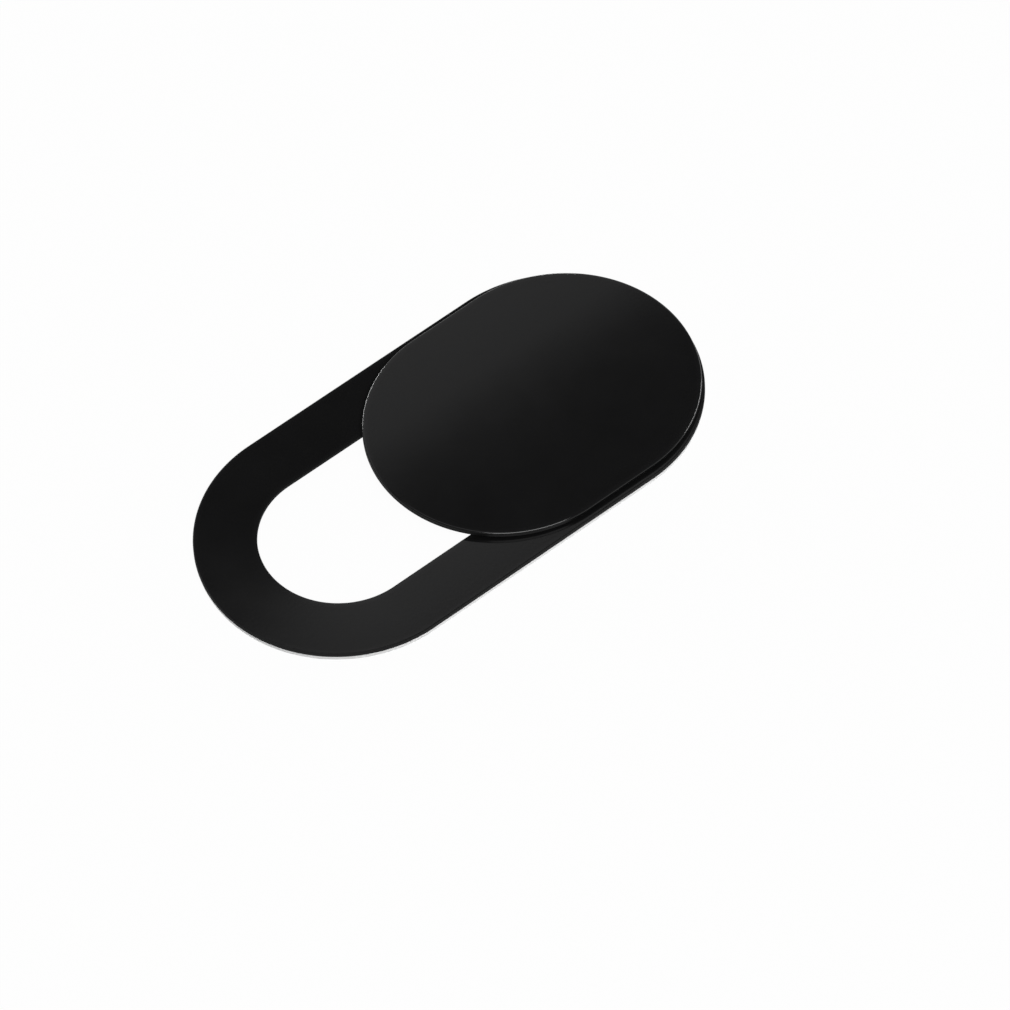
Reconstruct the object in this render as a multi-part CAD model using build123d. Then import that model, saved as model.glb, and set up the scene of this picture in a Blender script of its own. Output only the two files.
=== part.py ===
"""A webcam cover: a stick-on frame with a lens slot, and a shutter plate held captive in the slot.

All sizes are in millimetres. The origin lies on the tape's sticky face, under the middle of the frame.
+X runs along the slot to the end where the shutter parks, +Y runs across it, +Z points off the screen.
The shutter is parked at the +X end, so the lens looks through the other end of the slot.
"""
import os

from build123d import *

# The frame, seen from above
frame_length = 18.0
frame_width = 9.2
rim_width = 2.0  # from the outline in to the slot

# The frame's rim, cut across
rim_thickness = 0.14  # at the outline, where the rim is highest
rim_fall = 0.05  # how far its top falls from the outline in to the slot
outline_edge_radius = 0.03
slot_edge_radius = 0.03

# The tape, which also spaces the frame off the screen
tape_thickness = 0.18
tape_setback = 0.03  # in from the frame's outline
tape_clearance = 0.10  # out from the retainer

# The shutter plate
shutter_length = 11.25
shutter_width = 8.75
shutter_thickness = 0.18  # along its sides, where it is thinnest
crown_rise = 0.04375  # how far its top would rise from either side to a sharp ridge along the middle
crown_ridge_radius = 200.0  # rounds the ridge
shutter_edge_radius = 0.06
shutter_foot_chamfer = 0.04
standoff = 0.03  # from the top of the rim up to the underside of the plate
park_inset = 0.05  # from the frame's end in to the plate's end, parked or closed

# The runners, two low ribs that bear on the rim
runner_width = 0.40
runner_inset = 0.15  # from the slot's edge out to the runner
runner_clearance = 0.02

# The guide block, which fills the slot's width and stops at its ends
guide_side_clearance = 0.05
guide_end_clearance = 0.05

# The retainer, staked under the guide block in the hollow that the tape leaves
retainer_thickness = 0.12
retainer_reach = 0.60  # how far it reaches under the rim
retainer_clearance = 0.02  # below the rim
stake_diameter = 0.90
stake_head_diameter = 1.30
stake_clearance = 0.02

# What follows from the sizes above
slot_length = frame_length - 2 * rim_width
slot_width = frame_width - 2 * rim_width
travel = frame_length - shutter_length - 2 * park_inset
parked_x = travel / 2

frame_foot = tape_thickness
frame_top = frame_foot + rim_thickness
slot_top = frame_top - rim_fall

shutter_foot = frame_top + standoff
shutter_side_top = shutter_foot + shutter_thickness
runner_rim_top = slot_top + rim_fall * (runner_inset + runner_width) / rim_width
runner_foot = runner_rim_top + runner_clearance

guide_length = slot_length - travel - 2 * guide_end_clearance
guide_width = slot_width - 2 * guide_side_clearance
stake_offset = (guide_length - guide_width) / 2  # at the centres of the guide's round ends

retainer_top = frame_foot - retainer_clearance
retainer_foot = retainer_top - retainer_thickness


def obround(length, width, grow=0.0):
    """A flat outline with round ends, let out by grow all round."""
    return SlotOverall(length + 2 * grow, width + 2 * grow)


def prism(outline, low, high, x=0.0, y=0.0):
    """An outline raised from one height to another."""
    return Pos(x, y, low) * extrude(outline, high - low)


def rim_path():
    """The frame's outline as one closed run, starting midway along its far side."""
    radius = frame_width / 2
    half = (frame_length - frame_width) / 2
    start = Line((0, radius), (-half, radius))
    left_end = JernArc(start @ 1, start % 1, radius, 180)
    near_side = Line(left_end @ 1, (half, -radius))
    right_end = JernArc(near_side @ 1, near_side % 1, radius, 180)
    back = Line(right_end @ 1, (0, radius))
    return Wire([start, left_end, near_side, right_end, back])


def rim_section():
    """The rim cut across its far side: a flat foot, an upright outline, and a top that falls to the slot."""
    outline = frame_width / 2
    slot = slot_width / 2
    corners = [(slot, frame_foot), (outline, frame_foot), (outline, frame_top), (slot, slot_top)]
    section = make_face(Polyline(*corners, close=True))
    outline_corner = section.vertices().sort_by_distance((outline, frame_top))[0]
    section = fillet(outline_corner, outline_edge_radius)
    slot_corner = section.vertices().sort_by_distance((slot, slot_top))[0]
    section = fillet(slot_corner, slot_edge_radius)
    return Plane.YZ * section


def make_base_frame():
    """The one section, swept round the outline."""
    return sweep(rim_section(), path=rim_path())


def make_adhesive_ring():
    """Tape nearly as large as the frame, cut out round the whole path of the retainer."""
    outside = obround(frame_length, frame_width, -tape_setback)
    inside = obround(slot_length, slot_width, retainer_reach + tape_clearance)
    return prism(outside - inside, 0, tape_thickness)


def crown_section():
    """The plate cut across: a flat foot, low sides, and two flanks that rise to a rounded ridge."""
    side = shutter_width / 2
    corners = [
        (-side, shutter_foot),
        (side, shutter_foot),
        (side, shutter_side_top),
        (0, shutter_side_top + crown_rise),
        (-side, shutter_side_top),
    ]
    section = make_face(Polyline(*corners, close=True))
    ridge = section.vertices().sort_by_distance((0, shutter_side_top + crown_rise))[0]
    return Plane.YZ * fillet(ridge, crown_ridge_radius)


def is_top_rim(edge):
    """Whether an edge of the plate runs along its upper outline. Lines along the crown and upright seams don't."""
    middle = edge @ 0.5
    past_straight = max(abs(middle.X) - (shutter_length - shutter_width) / 2, 0)
    from_axis = Vector(past_straight, middle.Y).length
    high = edge.bounding_box().min.Z > shutter_side_top - shutter_edge_radius
    return high and from_axis > 0.99 * shutter_width / 2


def make_shutter_plate():
    """The crowned plate, with its runners, guide block and stakes moulded on underneath."""
    plate = extrude(crown_section(), shutter_length, both=True)
    plate &= prism(obround(shutter_length, shutter_width), shutter_foot, shutter_side_top + crown_rise)
    foot_edges = plate.faces().sort_by(Axis.Z)[0].edges()
    plate = chamfer(foot_edges, shutter_foot_chamfer)
    plate = fillet(plate.edges().filter_by(is_top_rim), shutter_edge_radius)

    guide = prism(obround(guide_length, guide_width), retainer_top, shutter_foot)
    runner_y = slot_width / 2 + runner_inset + runner_width / 2
    runner = obround(guide_length, runner_width)
    far_runner = prism(runner, runner_foot, shutter_foot, 0, runner_y)
    near_runner = prism(runner, runner_foot, shutter_foot, 0, -runner_y)
    shutter = plate + guide + far_runner + near_runner
    for x in (-stake_offset, stake_offset):
        shutter += stake(x, 0)
    return Pos(parked_x, 0, 0) * shutter


def stake(x, clearance):
    """A stake pressed out to a flush head, or with a clearance the hole it fills."""
    small = stake_diameter / 2 + clearance
    large = stake_head_diameter / 2 + clearance
    middle = (retainer_top + retainer_foot) / 2
    return Pos(x, 0, middle) * Cone(large, small, retainer_thickness)


def make_retainer_plate():
    """The plate that reaches under the rim on every side of the guide block."""
    outline = obround(guide_length, guide_width, retainer_reach)
    retainer = prism(outline, retainer_foot, retainer_top)
    for x in (-stake_offset, stake_offset):
        retainer -= stake(x, stake_clearance)
    return Pos(parked_x, 0, 0) * retainer


os.makedirs("parts", exist_ok=True)
export_step(make_base_frame(), "parts/base_frame.step")
export_step(make_adhesive_ring(), "parts/adhesive_ring.step")
export_step(make_shutter_plate(), "parts/shutter_plate.step")
export_step(make_retainer_plate(), "parts/retainer_plate.step")
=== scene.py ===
# %% [markdown]
# # A webcam cover, from CAD solids to a photograph
# The cover is a stick-on frame with a long slot, and a shutter that slides along it to hide or free a lens.
# Two more pieces lie underneath: a ring of tape, and a retainer that keeps the shutter from lifting off. CAD
# gives all four their real sizes. This notebook gives them fine meshes and finishes, and then a floor, lamps
# and a camera. No size changes on the way.

import math
from functools import partial

import bmesh
import bpy
from mathutils import Matrix, Vector


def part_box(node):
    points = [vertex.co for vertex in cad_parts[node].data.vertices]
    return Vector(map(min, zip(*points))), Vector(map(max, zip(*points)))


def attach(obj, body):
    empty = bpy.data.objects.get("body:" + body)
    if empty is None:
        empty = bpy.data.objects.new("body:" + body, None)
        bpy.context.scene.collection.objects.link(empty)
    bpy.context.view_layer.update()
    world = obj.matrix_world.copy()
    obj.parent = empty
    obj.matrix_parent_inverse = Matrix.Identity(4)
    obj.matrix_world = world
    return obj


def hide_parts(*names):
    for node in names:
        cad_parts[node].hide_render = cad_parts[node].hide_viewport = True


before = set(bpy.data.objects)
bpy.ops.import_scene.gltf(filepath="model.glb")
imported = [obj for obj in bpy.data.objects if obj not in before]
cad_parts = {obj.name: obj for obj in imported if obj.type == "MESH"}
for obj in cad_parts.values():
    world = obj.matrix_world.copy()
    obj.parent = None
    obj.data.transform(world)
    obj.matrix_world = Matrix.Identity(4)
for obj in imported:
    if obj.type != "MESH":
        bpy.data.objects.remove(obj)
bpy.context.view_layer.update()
scene = bpy.context.scene
scene.view_settings.view_transform = "Standard"

# %% [markdown]
# ## Sizes
# The CAD boxes give each piece's outer size, so a change there carries over to the meshes. A box says nothing
# of a slot, a slope or a rounded edge, so those few sizes are written again, here or beside the piece they
# belong to. The whole cover is thinner than a fingernail, so lengths stay in millimetres until a mesh is made.

# %% Sizes
MM = 0.001
RIM_WIDTH = 2.0
RIM_THICKNESS = 0.14  # at the outline
RIM_FALL = 0.05  # from the outline in to the slot
STANDOFF = 0.03  # from the rim up to the shutter
SHUTTER_THICKNESS = 0.18  # along its sides


def size_of(node):
    """A CAD node's lowest and highest corners, in millimetres."""
    low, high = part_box(node)
    return low / MM, high / MM


rim_low, rim_high = size_of("base_frame")
tape_low, tape_high = size_of("adhesive_ring")
plate_low, plate_high = size_of("shutter_plate")
retainer_low, retainer_high = size_of("retainer_plate")

frame_length = rim_high.x - rim_low.x
frame_width = rim_high.y - rim_low.y
slot_length = frame_length - 2 * RIM_WIDTH
slot_width = frame_width - 2 * RIM_WIDTH
frame_foot = rim_low.z
frame_top = frame_foot + RIM_THICKNESS
slot_top = frame_top - RIM_FALL

shutter_length = plate_high.x - plate_low.x
shutter_width = plate_high.y - plate_low.y
parked_x = (plate_low.x + plate_high.x) / 2
shutter_foot = frame_top + STANDOFF
shutter_side_top = shutter_foot + SHUTTER_THICKNESS
print("frame", round(frame_length, 3), "by", round(frame_width, 3), "mm")
print("shutter", round(shutter_length, 3), "by", round(shutter_width, 3), "mm, parked at x", round(parked_x, 3))

# %% [markdown]
# ## Sections
# Seen from above, every piece of this cover is an obround, a strip with half-round ends. Cut across, each has
# a small section that runs all the way round. So a section is the one thing to draw, as a list of
# (inward, height, radius) corners. A corner with a radius becomes an arc. Each arc gets a support point on
# either side, so that smooth shading doesn't leak from the arc on to the flat faces beside it.

# %% Rounded sections
ARC_STEPS = 7
SUPPORT = 0.012


def slab(inner, low, high, radius=0):
    """The corners of a flat section, from the outline in to a given depth."""
    return [(inner, low, radius), (0, low, radius), (0, high, radius), (inner, high, radius)]


def rounded(corners, closed):
    """Points along the corners, with arcs where the radius isn't zero. An open section's ends stay as they are."""
    points, count = [], len(corners)
    for i, (inward, height, radius) in enumerate(corners):
        here = Vector((inward, height))
        if radius == 0 or (not closed and i in (0, count - 1)):
            points.append(here)
            continue
        before = (Vector(corners[i - 1][:2]) - here).normalized()
        after = (Vector(corners[(i + 1) % count][:2]) - here).normalized()
        half_angle = before.angle(after) / 2
        reach = radius / math.tan(half_angle)
        centre = here + (before + after).normalized() * (radius / math.sin(half_angle))
        start = here + before * reach - centre
        turn = start.angle_signed(here + after * reach - centre)
        points.append(here + before * (reach + SUPPORT))
        for step in range(ARC_STEPS + 1):
            points.append(centre + Matrix.Rotation(-turn * step / ARC_STEPS, 2) @ start)
        points.append(here + after * (reach + SUPPORT))
    return points


def section_curve(name, corners, closed):
    """A curve object that holds a section. Its x is outward and its y downward, as the sweep expects."""
    points = rounded(corners, closed)
    curve = bpy.data.curves.new(name, "CURVE")
    curve.dimensions = "3D"
    spline = curve.splines.new("POLY")
    spline.points.add(len(points) - 1)
    for point, (inward, height) in zip(spline.points, points):
        point.co = (-inward * MM, -height * MM, 0, 1)
    spline.use_cyclic_u = closed
    section = bpy.data.objects.new(name, curve)
    scene.collection.objects.link(section)
    return section


print("sections are ready, each arc in", ARC_STEPS, "steps")

# %% [markdown]
# ## Nodes written as Python
# A node tree reads more easily as an expression than as a list of links. This small class wraps a node's
# output. Its operators add Math nodes, and its add method makes any other node: the settings first, then the
# sockets, each with a value or a link. Three more methods stand for what comes up often: the parts of a
# vector, a smooth change between two values, and a mix of two colours. The same class serves the geometry
# below and the finishes after it.

# %% Node helper


class Flow:
    """A node's output, and what can be made from it."""

    def __init__(self, socket):
        self.socket = socket
        self.tree = socket.id_data

    @staticmethod
    def fill(node, sockets):
        for key, value in dict(sockets).items():
            if isinstance(value, Flow):
                node.id_data.links.new(value.socket, node.inputs[key])
            else:
                node.inputs[key].default_value = value

    @classmethod
    def add(cls, tree, kind, settings=(), sockets=(), out=0):
        node = tree.nodes.new(kind)
        for name, value in dict(settings).items():
            setattr(node, name, value)
        cls.fill(node, sockets)
        return cls(node.outputs[out])

    def math(self, operation, *others):
        inputs = dict(enumerate((self, *others)))
        return Flow.add(self.tree, "ShaderNodeMath", {"operation": operation}, inputs)

    def parts(self):
        node = Flow.add(self.tree, "ShaderNodeSeparateXYZ", {}, {0: self}).socket.node
        return [Flow(output) for output in node.outputs]

    def fade(self, start, full, low=0.0, high=1.0):
        ends = {"From Min": start, "From Max": full, "To Min": low, "To Max": high}
        return Flow.add(self.tree, "ShaderNodeMapRange", {"interpolation_type": "SMOOTHSTEP"},
                        {"Value": self, **ends})

    def blend(self, first, second):
        return Flow.add(self.tree, "ShaderNodeMix", {"data_type": "RGBA"},
                        {"Factor": self, 6: (*first, 1), 7: (*second, 1)}, out=2)

    def __add__(self, other):
        return self.math("ADD", other)

    def __sub__(self, other):
        return self.math("SUBTRACT", other)

    def __rsub__(self, other):
        return (self * -1).math("ADD", other)

    def __mul__(self, other):
        return self.math("MULTIPLY", other)

    def __truediv__(self, other):
        return self.math("DIVIDE", other)

    def __rtruediv__(self, other):
        return self.math("POWER", -1) * other

    def __gt__(self, other):
        return self.math("GREATER_THAN", other)

    __radd__ = __add__
    __rmul__ = __mul__


print("node helper is ready")

# %% [markdown]
# ## The sweep
# Plates cut from a flat sheet with bevel modifiers would do for the outlines, but not for tops that slope. A
# sweep gives both at once, so one node tree makes every piece here.
#
# It starts from a circle whose points lie half a step off the axes, and moves its two halves apart. That makes
# the obround, and the points at either end of the straight sides keep their true direction, so a section that
# reaches the middle closes there without a crease. Curve to Mesh sends the section round. A closed section
# gives a ring, and an open one that starts and ends at half the width gives a plate.

# %% Sweep a section
SEAM = 1e-6


def swept(add, given):
    """The section, sent round an obround."""
    circle = add("GeometryNodeCurvePrimitiveCircle", {"mode": "RADIUS"},
                 {"Resolution": given["Points"], "Radius": given["Width"] / 2})
    half_step = add("ShaderNodeCombineXYZ", {}, {"Z": math.pi / given["Points"]})
    circle = add("GeometryNodeTransform", {}, {"Geometry": circle, "Rotation": half_step})
    along, _, _ = add("GeometryNodeInputPosition").parts()
    apart = along.math("SIGN") * (given["Length"] - given["Width"]) / 2
    shift = add("ShaderNodeCombineXYZ", {}, {"X": apart})
    outline = add("GeometryNodeSetPosition", {}, {"Geometry": circle, "Offset": shift})
    outline = add("GeometryNodeSetCurveNormal", {"mode": "Z_UP"}, {"Curve": outline})
    mesh = add("GeometryNodeCurveToMesh", {}, {"Curve": outline, "Profile Curve": given["Section"]})
    outward = add("GeometryNodeFlipFaces", {}, {"Mesh": mesh})
    return add("GeometryNodeMergeByDistance", {}, {"Geometry": outward, "Distance": SEAM})


print("the sweep merges points closer than", SEAM, "m")

# %% [markdown]
# ## The crown
# The shutter's top is crowned: two flat flanks meet in a broad round ridge. A subdivided and sculpted top could
# look the same, but here the rule itself lifts the points above a given height, so the mesh follows the solid.
# A piece with a flat top goes through the same nodes with no rise.

# %% Crown a mesh
FLAT = {"Crown Rise": 0.0, "Ridge Radius": 1.0, "Crown Above": 1.0}


def crowned(add, given, mesh):
    """The mesh, with its upper points lifted to two flanks and a ridge."""
    _, across, height = add("GeometryNodeInputPosition").parts()
    from_ridge = across.math("ABSOLUTE")
    slope = given["Crown Rise"] * 2 / given["Width"]
    half_ridge = slope * given["Ridge Radius"]
    on_ridge = from_ridge.math("MINIMUM", half_ridge)
    blunted = slope * half_ridge / 2
    arc = on_ridge * on_ridge / (given["Ridge Radius"] * 2)
    drop = blunted + arc + slope * (from_ridge - on_ridge)
    lift = add("ShaderNodeCombineXYZ", {}, {"Z": given["Crown Rise"] - drop})
    return add("GeometryNodeSetPosition", {},
               {"Geometry": mesh, "Selection": height > given["Crown Above"], "Offset": lift})


print("a flat piece has a crown of", FLAT["Crown Rise"])

# %% [markdown]
# ## The whole tree
# Last, the tree sets copies in a row, because the runners and the stakes underneath come in pairs. It shades
# them smooth and gives them their finish. Its inputs are what differs from piece to piece.

# %% Obround tree
SWEEP_INPUTS = {
    "Section": "Geometry", "Length": "Float", "Width": "Float", "Points": "Int", "Crown Rise": "Float",
    "Ridge Radius": "Float", "Crown Above": "Float", "Start": "Vector", "Step": "Vector", "Copies": "Int",
    "Finish": "Material",
}


def in_a_row(add, given, mesh):
    """Copies of the mesh, smooth and with their finish."""
    row = add("GeometryNodeMeshLine", {"mode": "OFFSET"},
              {"Count": given["Copies"], "Start Location": given["Start"], "Offset": given["Step"]})
    placed = add("GeometryNodeInstanceOnPoints", {}, {"Points": row, "Instance": mesh})
    real = add("GeometryNodeRealizeInstances", {}, {"Geometry": placed})
    smooth = add("GeometryNodeSetShadeSmooth", {"domain": "FACE"}, {"Geometry": real})
    return add("GeometryNodeSetMaterial", {}, {"Geometry": smooth, "Material": given["Finish"]})


def obround_tree():
    """The tree that sweeps, crowns and copies a piece."""
    tree = bpy.data.node_groups.new("obround_sweep", "GeometryNodeTree")
    for name, kind in SWEEP_INPUTS.items():
        tree.interface.new_socket(name, in_out="INPUT", socket_type="NodeSocket" + kind)
    tree.interface.new_socket("Piece", in_out="OUTPUT", socket_type="NodeSocketGeometry")
    group = tree.nodes.new("NodeGroupInput")
    given = {s.name: Flow(s) for s in group.outputs if s.name}
    add = partial(Flow.add, tree)
    piece = in_a_row(add, given, crowned(add, given, swept(add, given)))
    Flow.fill(tree.nodes.new("NodeGroupOutput"), {0: piece})
    return tree


sweep = obround_tree()
socket_id = {s.name: s.identifier for s in sweep.interface.items_tree if s.in_out == "INPUT"}
print("sweep inputs:", ", ".join(socket_id))

# %% [markdown]
# ## Making a piece
# This helper runs the tree once and keeps the result as a plain mesh. A modifier left on the object would do
# as well for a render, but a plain mesh can be measured and exported as it stands.

# %% Make a piece
POINTS = 256


def plain_mesh(thing):
    """An object's mesh with its modifiers applied."""
    graph = bpy.context.evaluated_depsgraph_get()
    return bpy.data.meshes.new_from_object(thing.evaluated_get(graph), depsgraph=graph)


def obround_piece(name, corners, closed, length, width, finish, centre=(0, 0), gap=(0, 0), copies=1,
                  points=POINTS, crown=FLAT):
    """A mesh swept from a section. Lengths are in millimetres, and copies lie a gap apart round the centre."""
    section = section_curve(name + "_section", corners, closed)
    modifier = section.modifiers.new("sweep", "NODES")
    modifier.node_group = sweep
    start = [(c - g * (copies - 1) / 2) * MM for c, g in zip(centre, gap)]
    values = {"Length": length * MM, "Width": width * MM, "Points": points, "Start": (*start, 0.0),
              "Step": (gap[0] * MM, gap[1] * MM, 0.0), "Copies": copies, "Finish": finish, **crown}
    for key, value in values.items():
        modifier[socket_id[key]] = value
    piece = bpy.data.objects.new(name, plain_mesh(section))
    piece.data.name = name
    scene.collection.objects.link(piece)
    curve = section.data
    bpy.data.objects.remove(section)
    bpy.data.curves.remove(curve)
    return piece


print("pieces get", POINTS, "points round the outline")

# %% [markdown]
# ## Joining and cutting
# The shutter's underside is joined from several pieces, and the retainer has holes. A Boolean modifier does
# both. The exact solver copes with the thin walls here, and its result is kept as a plain mesh too.

# %% Combine two pieces
SOLVER = "EXACT"


def combine(piece, tool, operation):
    """Joins the tool to the piece or cuts it away, and removes the tool."""
    modifier = piece.modifiers.new("combine", "BOOLEAN")
    modifier.operation = operation
    modifier.solver = SOLVER
    modifier.object = tool
    before, after = piece.data, plain_mesh(piece)
    piece.modifiers.clear()
    piece.data = after
    bpy.data.objects.remove(tool)
    bpy.data.meshes.remove(before)
    after.name = piece.name
    print(piece.name, operation.lower(), "gives", len(after.polygons), "faces")


print("pieces combine with the", SOLVER.lower(), "solver")

# %% [markdown]
# ## Finishing a piece
# The last helper marks the edges that should stay sharp, then counts open edges and measures the volume: no
# open edge and a positive volume mean that the skin is closed and its faces point outwards. Then it ties the
# piece to the CAD body that it moves with, and hides the CAD solid that it stands for.

# %% Finish a piece
SHARP_ANGLE = math.radians(24)


def finish_piece(piece, body, node):
    """Marks sharp edges, reports on the mesh and ties the piece to the CAD frame."""
    piece.data.set_sharp_from_angle(angle=SHARP_ANGLE)
    work = bmesh.new()
    work.from_mesh(piece.data)
    open_edges = sum(1 for e in work.edges if len(e.link_faces) != 2)
    volume = work.calc_volume(signed=True) / MM ** 3
    print(piece.name, len(work.faces), "faces,", open_edges, "open edges,", round(volume, 3), "mm3")
    work.free()
    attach(piece, body)
    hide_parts(node)


# %% [markdown]
# ## Starting a finish
# Every finish starts in the same way, with a new material and the piece's own coordinates. Image textures would
# need a map of the surface first. Patterns computed from coordinates need none, and because the coordinates
# belong to the object, they move along when the shutter slides.

# %% Start a finish


def new_finish(name):
    """A material, a maker for its nodes, and the place and the normal on the piece."""
    material = bpy.data.materials.new(name)
    material.use_nodes = True
    coordinates = material.node_tree.nodes.new("ShaderNodeTexCoord")
    place, normal = (Flow(coordinates.outputs[key]) for key in ("Object", "Normal"))
    return material, partial(Flow.add, material.node_tree), place, normal


def fill_shader(material, sockets):
    """Gives the material's shader its values and links."""
    nodes = material.node_tree.nodes
    Flow.fill(nodes["Principled BSDF"], sockets)
    print("made", material.name, "with", len(nodes), "nodes")


def outline_distance(place, centre_x, length, width):
    """How far a point lies from an obround's outline, in millimetres."""
    x, y, _ = place.parts()
    along, across = x / MM, y / MM
    past = ((along - centre_x).math("ABSOLUTE") - (length - width) / 2).math("MAXIMUM", 0)
    return ((past * past + across * across).math("SQRT") - width / 2).math("ABSOLUTE")


print("finishes can be made")

# %% [markdown]
# ## Satin black plastic
# The frame and the shutter are moulded from black plastic with a satin face. Its colour is so dark that nearly
# all one sees is gloss, so roughness does the work. It is low on the broad faces, where the mould is polished.
# The frame's upright edges are as the mould was cut, so they are matt and stay dark beside a white sheet. So
# are the shutter's round ends. Its long sides are polished by the fingers that hold it there, and a lamp draws
# a thin bright line on them. The object's own normal tells faces from walls, and ends from sides.
#
# Fingers rub the edges first. A distance to the obround's outline makes a narrow band along them, where the
# plastic is a little smoother and greyer. The upright walls are left out of that grey and stay deep black,
# which is painted shade: it keeps them dark as shade would. Slow mottling keeps the gloss from looking like
# glass, and a bump of fine grain, a tenth of a millimetre across, breaks it up as moulded plastic does. Its
# slopes are tiny, because the crown that the gloss shows is itself only half a degree steep.

# %% Satin black plastic
FRAME_ROUGHNESS = 0.10
SHUTTER_ROUGHNESS = 0.12
MATT_WALL = {"start": 0.02, "full": 0.12, "sides": 1.0, "ends": 1.0}
HELD_WALL = {"start": 0.5, "full": 0.85, "sides": 0.16, "ends": 1.0}
SIDE_TO_END = (0.70, 0.85)  # how far a wall's normal turns along x
RUBBED_BAND = (0.04, 0.22)  # from an outline
MOTTLING = {"Scale": 900.0, "Detail": 2.0}
GRAIN = {"Scale": 11000.0, "Detail": 1.0}
GRAIN_DEPTH = 2e-7
MOTTLED_GLOSS, RUBBED_GLOSS = 0.03, 0.02
MOTTLED_TONE, RUBBED_TONE = 0.4, 0.6
DEEP_BLACK, WORN_BLACK = (0.0036, 0.0036, 0.0037), (0.0068, 0.0068, 0.0070)
PLASTIC_SPECULAR = 0.3


def black_plastic(name, outlines, face_roughness, walls):
    """The plastic, rubbed along the given outlines. Each is a centre along x, a length and a width."""
    material, add, place, normal = new_finish(name)
    nearest = outline_distance(place, *outlines[0])
    for outline in outlines[1:]:
        nearest = nearest.math("MINIMUM", outline_distance(place, *outline))
    rubbed = nearest.fade(*RUBBED_BAND, 1.0, 0.0)
    mottling = add("ShaderNodeTexNoise", {}, {"Vector": place, **MOTTLING})
    grain = add("ShaderNodeTexNoise", {}, {"Vector": place, **GRAIN})

    endways, _, upward = normal.parts()
    wall = (1 - upward.math("ABSOLUTE")).fade(walls["start"], walls["full"])
    wall_roughness = endways.math("ABSOLUTE").fade(*SIDE_TO_END, walls["sides"], walls["ends"])
    face = face_roughness + (mottling - 0.5) * MOTTLED_GLOSS - rubbed * RUBBED_GLOSS
    # real wear greys the rubbed band, but the upright walls are kept out of it and stay deep black: painted shade
    wear_and_wall_shade = rubbed * (1 - wall) * RUBBED_TONE + mottling * MOTTLED_TONE
    fill_shader(material, {
        "Base Color": wear_and_wall_shade.blend(DEEP_BLACK, WORN_BLACK),
        "Roughness": face * (1 - wall) + wall * wall_roughness,
        "Normal": add("ShaderNodeBump", {}, {"Strength": 1.0, "Distance": GRAIN_DEPTH, "Height": grain}),
        "Specular IOR Level": PLASTIC_SPECULAR,
    })
    return material


frame_outlines = [(0, frame_length, frame_width), (0, slot_length, slot_width)]
shutter_outlines = [(parked_x, shutter_length, shutter_width)]
frame_plastic = black_plastic("frame_plastic", frame_outlines, FRAME_ROUGHNESS, MATT_WALL)
shutter_plastic = black_plastic("shutter_plastic", shutter_outlines, SHUTTER_ROUGHNESS, HELD_WALL)

# %% [markdown]
# ## The frame
# One moulded plate with a slot for the lens. Its top falls a little from the outline in to the slot, which
# guides the eye and the light to the lens, and both upper edges are rounded. A Boolean cut through a plate
# would give the slot, but the slope calls for a ring with its own section.

# %% Frame
RIM_EDGE_RADIUS = 0.03
rim_corners = [
    (RIM_WIDTH, frame_foot, 0),
    (0, frame_foot, 0),
    (0, frame_top, RIM_EDGE_RADIUS),
    (RIM_WIDTH, slot_top, RIM_EDGE_RADIUS),
]
rim = obround_piece("frame_rim", rim_corners, True, frame_length, frame_width, frame_plastic)
finish_piece(rim, "frame", "base_frame")

# %% [markdown]
# ## The tape's finish
# The tape is white acrylic foam. It isn't an even white: it has fine cells and paler patches, and the sticky
# face carries a faint linen pattern from the paper that covered it. A woven texture could be drawn by hand, but
# two crossed waves do it in one line. They fade on the cut edge, where only the cells show.

# %% Tape finish
LINEN_PITCH = 0.35
LINEN_DEPTH = 0.5  # beside the cells
CELLS = {"Scale": 16000.0}
PATCHES = {"Scale": 1200.0, "Detail": 3.0}
PALE_TAPE, GREY_TAPE = (0.67, 0.67, 0.67), (0.58, 0.58, 0.578)
PATCHY_TONE, CELL_TONE = 0.7, 0.3
TAPE_ROUGHNESS, PATCHY_ROUGHNESS = 0.5, 0.2
RELIEF = {"Strength": 0.6, "Distance": 4e-6}


def tape_finish():
    """White foam tape with cells, patches and linen."""
    material, add, place, normal = new_finish("white_tape")
    along, across, _ = place.parts()
    _, _, upward = normal.parts()
    turns = 2 * math.pi / (LINEN_PITCH * MM)
    crossed = ((along + across) * turns).math("SINE") * ((along - across) * turns).math("SINE")
    linen = crossed * upward.math("ABSOLUTE")
    cells = add("ShaderNodeTexVoronoi", {}, {"Vector": place, **CELLS})
    patches = add("ShaderNodeTexNoise", {}, {"Vector": place, **PATCHES})
    fill_shader(material, {
        "Base Color": (patches * PATCHY_TONE + cells * CELL_TONE).blend(PALE_TAPE, GREY_TAPE),
        "Roughness": TAPE_ROUGHNESS + patches * PATCHY_ROUGHNESS,
        "Normal": add("ShaderNodeBump", {}, {"Height": linen * LINEN_DEPTH + cells, **RELIEF}),
    })
    return material


white_tape = tape_finish()

# %% [markdown]
# ## The tape
# A die-cut ring of double-sided tape holds the frame on a screen. Its wide opening leaves room for the
# retainer. The cut edge is soft, so the section's corners are barely rounded.

# %% Tape
TAPE_MARGIN = 0.70  # from the slot out to the tape
TAPE_CORNER = 0.01
tape_length = tape_high.x - tape_low.x
tape_width = tape_high.y - tape_low.y
tape_ring_width = (tape_width - (slot_width + 2 * TAPE_MARGIN)) / 2
tape_corners = slab(tape_ring_width, tape_low.z, tape_high.z, TAPE_CORNER)
tape = obround_piece("tape_ring", tape_corners, True, tape_length, tape_width, white_tape)
finish_piece(tape, "frame", "adhesive_ring")

# %% [markdown]
# ## The shutter plate
# The shutter lies over the frame and slides along it. Its top is a shallow crown, so a fingertip feels where
# it is, with a rounded edge above and a chamfer below that keeps it from catching. The section closes over the
# middle, and many rings across the top let the crown bend evenly. Without them its gloss would break into
# facets.

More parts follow.
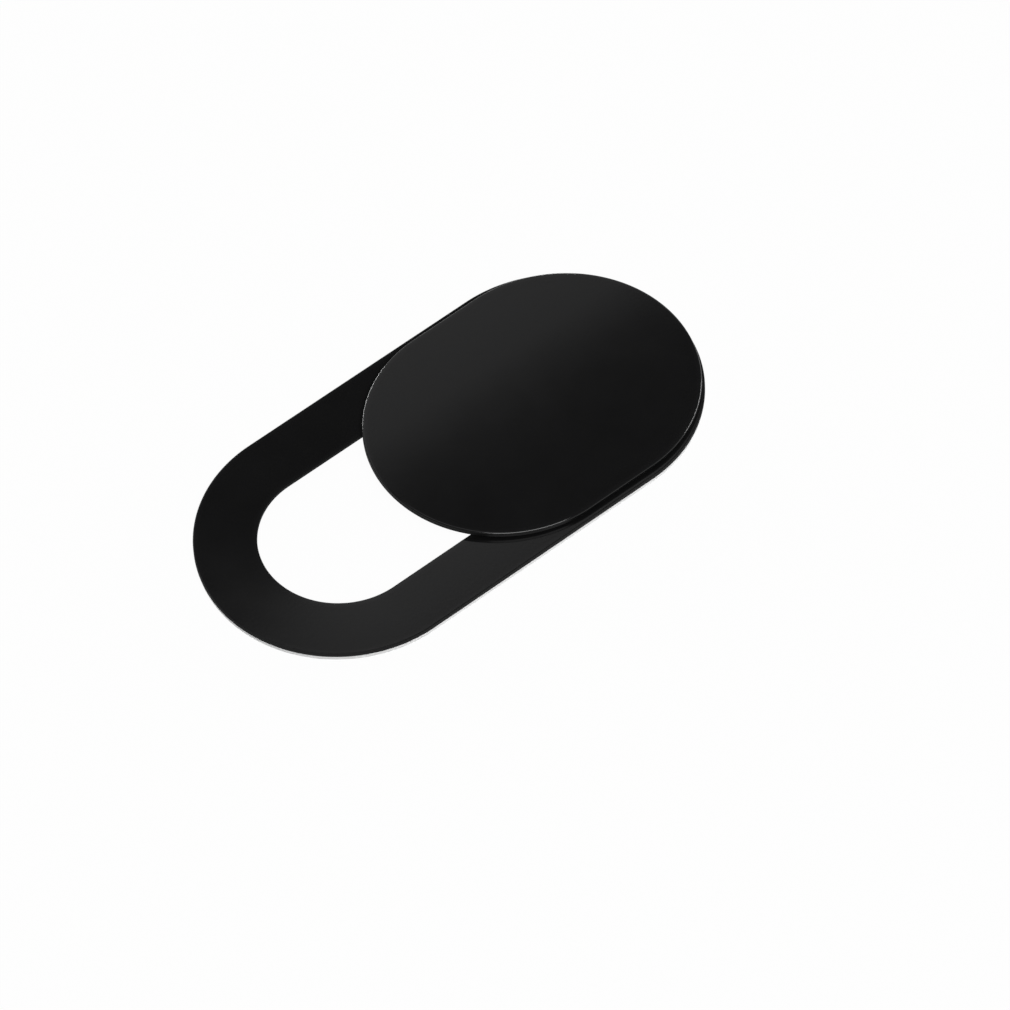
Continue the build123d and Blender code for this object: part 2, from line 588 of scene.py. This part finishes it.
# %% Shutter plate
EDGE_RADIUS = 0.06
FOOT_CHAMFER = 0.04
CROWN_RISE = 0.04375
RIDGE_RADIUS = 200.0
TOP_RINGS = 24
FIRST_RING = 0.12

half_width = shutter_width / 2
ring_step = (half_width - FIRST_RING) / TOP_RINGS
plate_corners = [
    (half_width, shutter_foot, 0),
    (FOOT_CHAMFER, shutter_foot, 0),
    (0, shutter_foot + FOOT_CHAMFER, 0),
    (0, shutter_side_top, EDGE_RADIUS),
    *[(FIRST_RING + i * ring_step, shutter_side_top, 0) for i in range(TOP_RINGS + 1)],
]
crown = {"Crown Rise": CROWN_RISE * MM, "Ridge Radius": RIDGE_RADIUS * MM,
         "Crown Above": (shutter_side_top - EDGE_RADIUS - 2 * SUPPORT) * MM}
parked = (parked_x, 0)
shutter = obround_piece("shutter", plate_corners, False, shutter_length, shutter_width, shutter_plastic, parked,
                        crown=crown)
print("shutter plate with", len(shutter.data.polygons), "faces")

# %% [markdown]
# ## The guide block
# This is what makes the slide captive. A guide block reaches down through the slot, and its round ends stop
# against the slot's ends. It is moulded in one with the plate, so a Boolean union joins it on. It reaches a
# little way into the plate first, because faces that only touch don't join well.

# %% Guide block
SUNK = 0.02
RETAINER_REACH = 0.60  # out from the guide block
retainer_length = retainer_high.x - retainer_low.x
retainer_width = retainer_high.y - retainer_low.y
retainer_foot, retainer_top = retainer_low.z, retainer_high.z
guide_length = retainer_length - 2 * RETAINER_REACH
guide_width = retainer_width - 2 * RETAINER_REACH
guide_corners = slab(guide_width / 2, retainer_top, shutter_foot + SUNK)
guide = obround_piece("guide", guide_corners, False, guide_length, guide_width, shutter_plastic, parked)
combine(shutter, guide, "UNION")

# %% [markdown]
# ## The runners
# Two low ribs beside the guide block bear on the rim, so the plate itself doesn't rub. They are one section and
# two copies, set apart across the slot. Their foot follows the rim's slope, a hair above it.

# %% Runners
RUNNER_WIDTH, RUNNER_INSET, RUNNER_GAP = 0.40, 0.15, 0.02
RUNNER_POINTS = 48
rim_rise = (frame_top - slot_top) * (RUNNER_INSET + RUNNER_WIDTH) / RIM_WIDTH
runner_foot = slot_top + rim_rise + RUNNER_GAP
runner_pitch = slot_width + 2 * RUNNER_INSET + RUNNER_WIDTH
runner_corners = slab(RUNNER_WIDTH / 2, runner_foot, shutter_foot + SUNK)
runners = obround_piece("runners", runner_corners, False, guide_length, RUNNER_WIDTH, shutter_plastic, parked,
                        (0, runner_pitch), 2, RUNNER_POINTS)
combine(shutter, runners, "UNION")

# %% [markdown]
# ## The stakes
# Two stakes go from the guide block through the retainer, and their ends are pressed out flush. A cone is a
# sweep as well, round an obround as long as it is wide. The same section, let out, cuts the holes later.

# %% Stakes
STAKE, STAKE_HEAD = 0.90, 1.30
STAKE_POINTS = 96
stake_lean = (STAKE_HEAD - STAKE) / 2
stake_gap = (guide_length - guide_width, 0)


def cone(head, below, above):
    """A section that narrows upwards as a stake does, let out below and above it."""
    rise = retainer_top - retainer_foot
    low, high = retainer_foot - below, retainer_top + above
    foot_in, top_in = -stake_lean * below / rise, stake_lean * (rise + above) / rise
    return [(head / 2, low, 0), (foot_in, low, 0), (top_in, high, 0), (head / 2, high, 0)]


stakes = obround_piece("stakes", cone(STAKE_HEAD, 0, SUNK), False, STAKE_HEAD, STAKE_HEAD, shutter_plastic,
                       parked, stake_gap, 2, STAKE_POINTS)
combine(shutter, stakes, "UNION")
finish_piece(shutter, "shutter", "shutter_plate")

# %% [markdown]
# ## The retainer
# A thin plate under the rim, staked to the guide block, so the shutter can't lift off. It is seen only from
# below, and moulds for such plates aren't polished, so its face is duller. Its two tapered holes are cut with
# the stakes' own section, let out by their clearance.

# %% Retainer
RETAINER_ROUGHNESS = 0.3
RETAINER_CORNER = 0.015
STAKE_GAP = 0.02
retainer_outlines = [(parked_x, retainer_length, retainer_width)]
retainer_plastic = black_plastic("retainer_plastic", retainer_outlines, RETAINER_ROUGHNESS, MATT_WALL)
retainer_corners = slab(retainer_width / 2, retainer_foot, retainer_top, RETAINER_CORNER)
retainer = obround_piece("retainer", retainer_corners, False, retainer_length, retainer_width, retainer_plastic,
                         parked)
hole = STAKE_HEAD + 2 * STAKE_GAP
holes = obround_piece("holes", cone(hole, SUNK, SUNK), False, hole, hole, retainer_plastic, parked, stake_gap, 2,
                      STAKE_POINTS)
combine(retainer, holes, "DIFFERENCE")
finish_piece(retainer, "shutter", "retainer_plate")

# %% [markdown]
# ## The floor
# A pale sheet, a hair below the tape. Lit by lamps alone it would come out grey beside a white page, and more
# lamps would wash out the black plastic. So what the camera sees of it, directly or in a reflection, is mostly
# a plain white glow, and the rest is the sheet itself, which keeps the object's shadow.

# %% Floor
FLOOR_SIZE, FLOOR_DROP = 6.0, 1e-5
PAPER = (0.65, 0.65, 0.65, 1)
GLOW_SHARE = 0.96

bpy.ops.mesh.primitive_plane_add(size=FLOOR_SIZE, location=(0, 0, -FLOOR_DROP))
floor = bpy.context.object
floor.name = "floor"

sheet = bpy.data.materials.new("pale_sheet")
sheet.use_nodes = True
tree = sheet.node_tree
tree.nodes.clear()
paper = Flow.add(tree, "ShaderNodeBsdfDiffuse", {}, {"Color": PAPER})
glow = Flow.add(tree, "ShaderNodeEmission", {}, {"Color": (1, 1, 1, 1), "Strength": 1.0})
rays = tree.nodes.new("ShaderNodeLightPath")
seen = Flow(rays.outputs["Is Camera Ray"])
for kind in ("Is Glossy Ray", "Is Transmission Ray"):
    seen = seen.math("MAXIMUM", Flow(rays.outputs[kind]))
surface = Flow.add(tree, "ShaderNodeMixShader", {}, {0: seen * GLOW_SHARE, 1: paper, 2: glow})
Flow.fill(tree.nodes.new("ShaderNodeOutputMaterial"), {"Surface": surface})
floor.data.materials.append(sheet)
print("floor with", len(tree.nodes), "nodes")

# %% [markdown]
# ## The studio's walls
# Satin black is lit by what it mirrors, and in an empty world it would be a flat silhouette from most sides.
# An image of a room could stand round it. A plain change of grey with height is enough: palest near the floor,
# so the black faces have something to mirror from every side, and dark overhead.

# %% Walls
WALL_HEIGHTS = (0.3, 0.7)
LOW_WALL, HIGH_WALL = 0.3, 0.05

world = bpy.data.worlds.new("studio")
scene.world = world
world.use_nodes = True
tree = world.node_tree
_, _, height = Flow.add(tree, "ShaderNodeTexCoord").parts()
Flow.fill(tree.nodes["Background"], {"Color": height.fade(*WALL_HEIGHTS, LOW_WALL, HIGH_WALL)})
print("walls from", LOW_WALL, "up to", HIGH_WALL)

# %% [markdown]
# ## The lamps
# A large dim panel hangs behind the cover, and its front edge lies just where the middle of the shutter mirrors
# the camera. So the flank that leans towards the panel shines, the other one stays dark, and the crown shows as
# a soft ramp between them. The same edge makes the frame's near band lighter than its far one. A second panel
# overhead shows the crown to a camera that looks straight down.
#
# The key lamp in front gives the plain light on everything and the bright line on the shutter's near edge.
# Three strips stand low, one at the side and two behind. They draw the lines along the other edges, and at such
# a low angle they leave no glare on the faces.

# %% Lamps
HUNG_PANELS = {  # x, front edge along y, height above the floor, width, depth, radiance
    "back_panel": (0.2275, 0.3235, 0.5, 0.9, 0.7, 0.83),
    "top_panel": (0.0, 0.0, 1.2, 0.6, 0.6, 0.9),
}
AIMED_LAMPS = {  # azimuth and elevation in degrees, width, height, radiance
    "key": (250, 52, 0.75, 0.45, 10.0),
    "side": (-20, 5, 0.6, 0.14, 20.0),
    "back_left": (91, 4, 0.45, 0.1, 32.0),
    "back_right": (53, 4, 0.13, 0.1, 28.0),
}


def bearing(azimuth, elevation):
    """A point a metre from the object, by its bearing and its height in degrees."""
    a, e = math.radians(azimuth), math.radians(elevation)
    return Vector((math.cos(a) * math.cos(e), math.sin(a) * math.cos(e), math.sin(e)))


def panel(name, place, aim, width, height, radiance):
    """A rectangular lamp of an even brightness."""
    lamp = bpy.data.lights.new(name, "AREA")
    lamp.shape = "RECTANGLE"
    lamp.size, lamp.size_y = width, height
    lamp.energy = radiance * math.pi * width * height
    holder = bpy.data.objects.new(name, lamp)
    holder.location = place
    holder.rotation_mode = "QUATERNION"
    holder.rotation_quaternion = (Vector(aim) - Vector(place)).to_track_quat("-Z", "Y")
    scene.collection.objects.link(holder)
    print(name, "of", width, "by", height, "m at", [round(v, 2) for v in place])


for name, (x, edge, above, width, depth, radiance) in HUNG_PANELS.items():
    y = edge + depth / 2
    panel(name, (x, y, above), (x, y, 0), width, depth, radiance)
for name, (azimuth, elevation, *size_and_light) in AIMED_LAMPS.items():
    panel(name, bearing(azimuth, elevation), (0, 0, 0), *size_and_light)

# %% [markdown]
# ## The camera
# The angles, the distance and the scale come from matching the outlines of the frame, the slot and the shutter
# to the photograph. The lens is long and stands well back, so the near and the far side keep nearly the same
# scale. Its three directions are written out, because a roll is easier to see there than in Euler angles.

# %% Camera
CAM_ANGLES = (-37.125, 52.897, -2.942)  # azimuth, elevation and roll in degrees
CAM_DISTANCE = 250.0
PIXELS_PER_MM = 31.9766
IMAGE_WIDTH = 1010
SENSOR = 36
CLIP_START = 0.01
SLIDE_X, SLIDE_Y = -1.6955, 1.1907  # from the image's middle to the object's origin

azimuth, elevation, roll = (math.radians(v) for v in CAM_ANGLES)
back = Vector((math.sin(azimuth) * math.cos(elevation), -math.cos(azimuth) * math.cos(elevation),
               math.sin(elevation)))
level = Vector((math.cos(azimuth), math.sin(azimuth), 0))
upright = back.cross(level)
right = math.cos(roll) * level + math.sin(roll) * upright
up = math.cos(roll) * upright - math.sin(roll) * level

lens = bpy.data.cameras.new("camera")
lens.sensor_width = SENSOR
lens.lens = SENSOR * PIXELS_PER_MM * CAM_DISTANCE / IMAGE_WIDTH
lens.clip_start = CLIP_START
camera = bpy.data.objects.new("camera", lens)
camera.matrix_world = Matrix((right, up, back)).transposed().to_4x4()
camera.location = (-SLIDE_X * right - SLIDE_Y * up + CAM_DISTANCE * back) * MM
scene.collection.objects.link(camera)
scene.camera = camera
print("camera", round(lens.lens, 1), "mm at", [round(v, 3) for v in camera.location])
